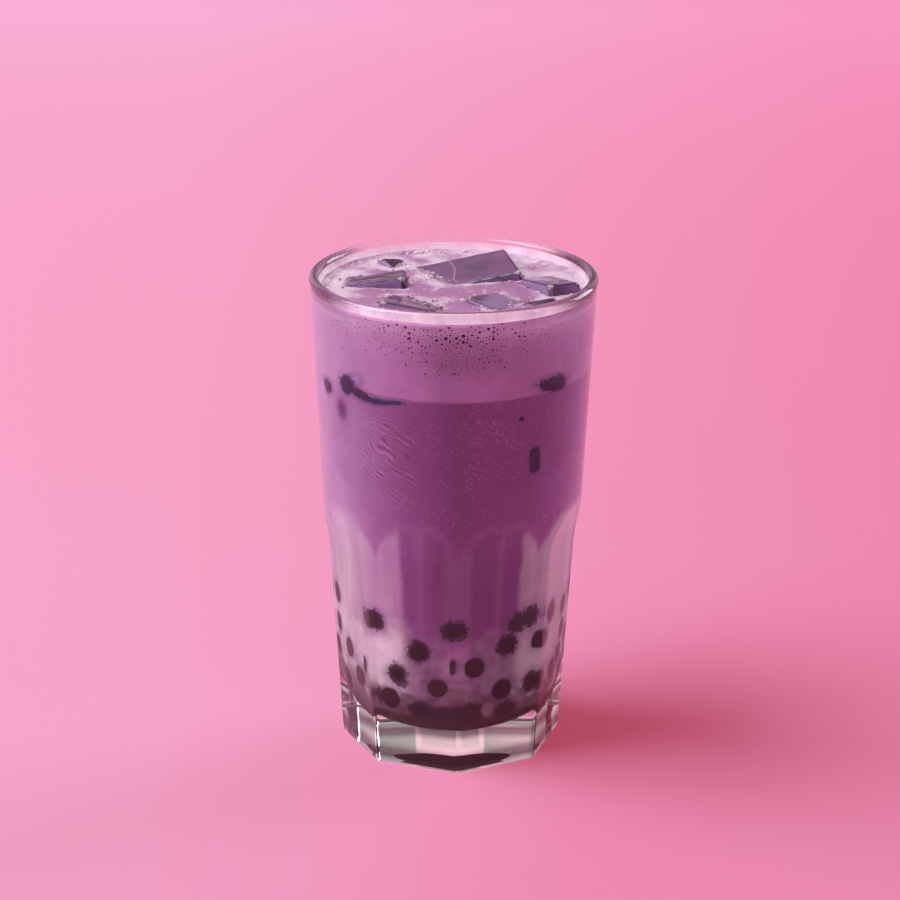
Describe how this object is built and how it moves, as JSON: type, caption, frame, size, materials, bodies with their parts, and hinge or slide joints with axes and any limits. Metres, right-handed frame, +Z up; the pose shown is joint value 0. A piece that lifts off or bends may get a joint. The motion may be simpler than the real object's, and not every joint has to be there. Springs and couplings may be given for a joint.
{
  "type": "blueberry milkshake with pearls",
  "caption": "Blueberry milk drink with froth, ice and chewy pearls in a tall clear tumbler whose lower half has flat facets.",
  "frame": {"origin": "middle of the tumbler's foot, on the surface it stands on", "axes": "+Z up along the tumbler, -Y towards the front"},
  "size_m": [0.088, 0.088, 0.152],
  "materials": {
    "glass": "clear polished glass",
    "milk": "purple milk",
    "froth": "lilac froth with small bubbles",
    "pearls": "near-black shiny starch pearls",
    "ice": "wet clear ice stained by the drink"
  },
  "bodies": {
    "root": {"glass": "glass", "pearl_bed": "pearls", "milk": "milk", "froth": "froth", "ice_back": "ice", "ice_back_left": "ice", "ice_left": "ice", "ice_front_left": "ice", "ice_front": "ice", "ice_front_right": "ice", "ice_right": "ice"}
  },
  "joints": []
}
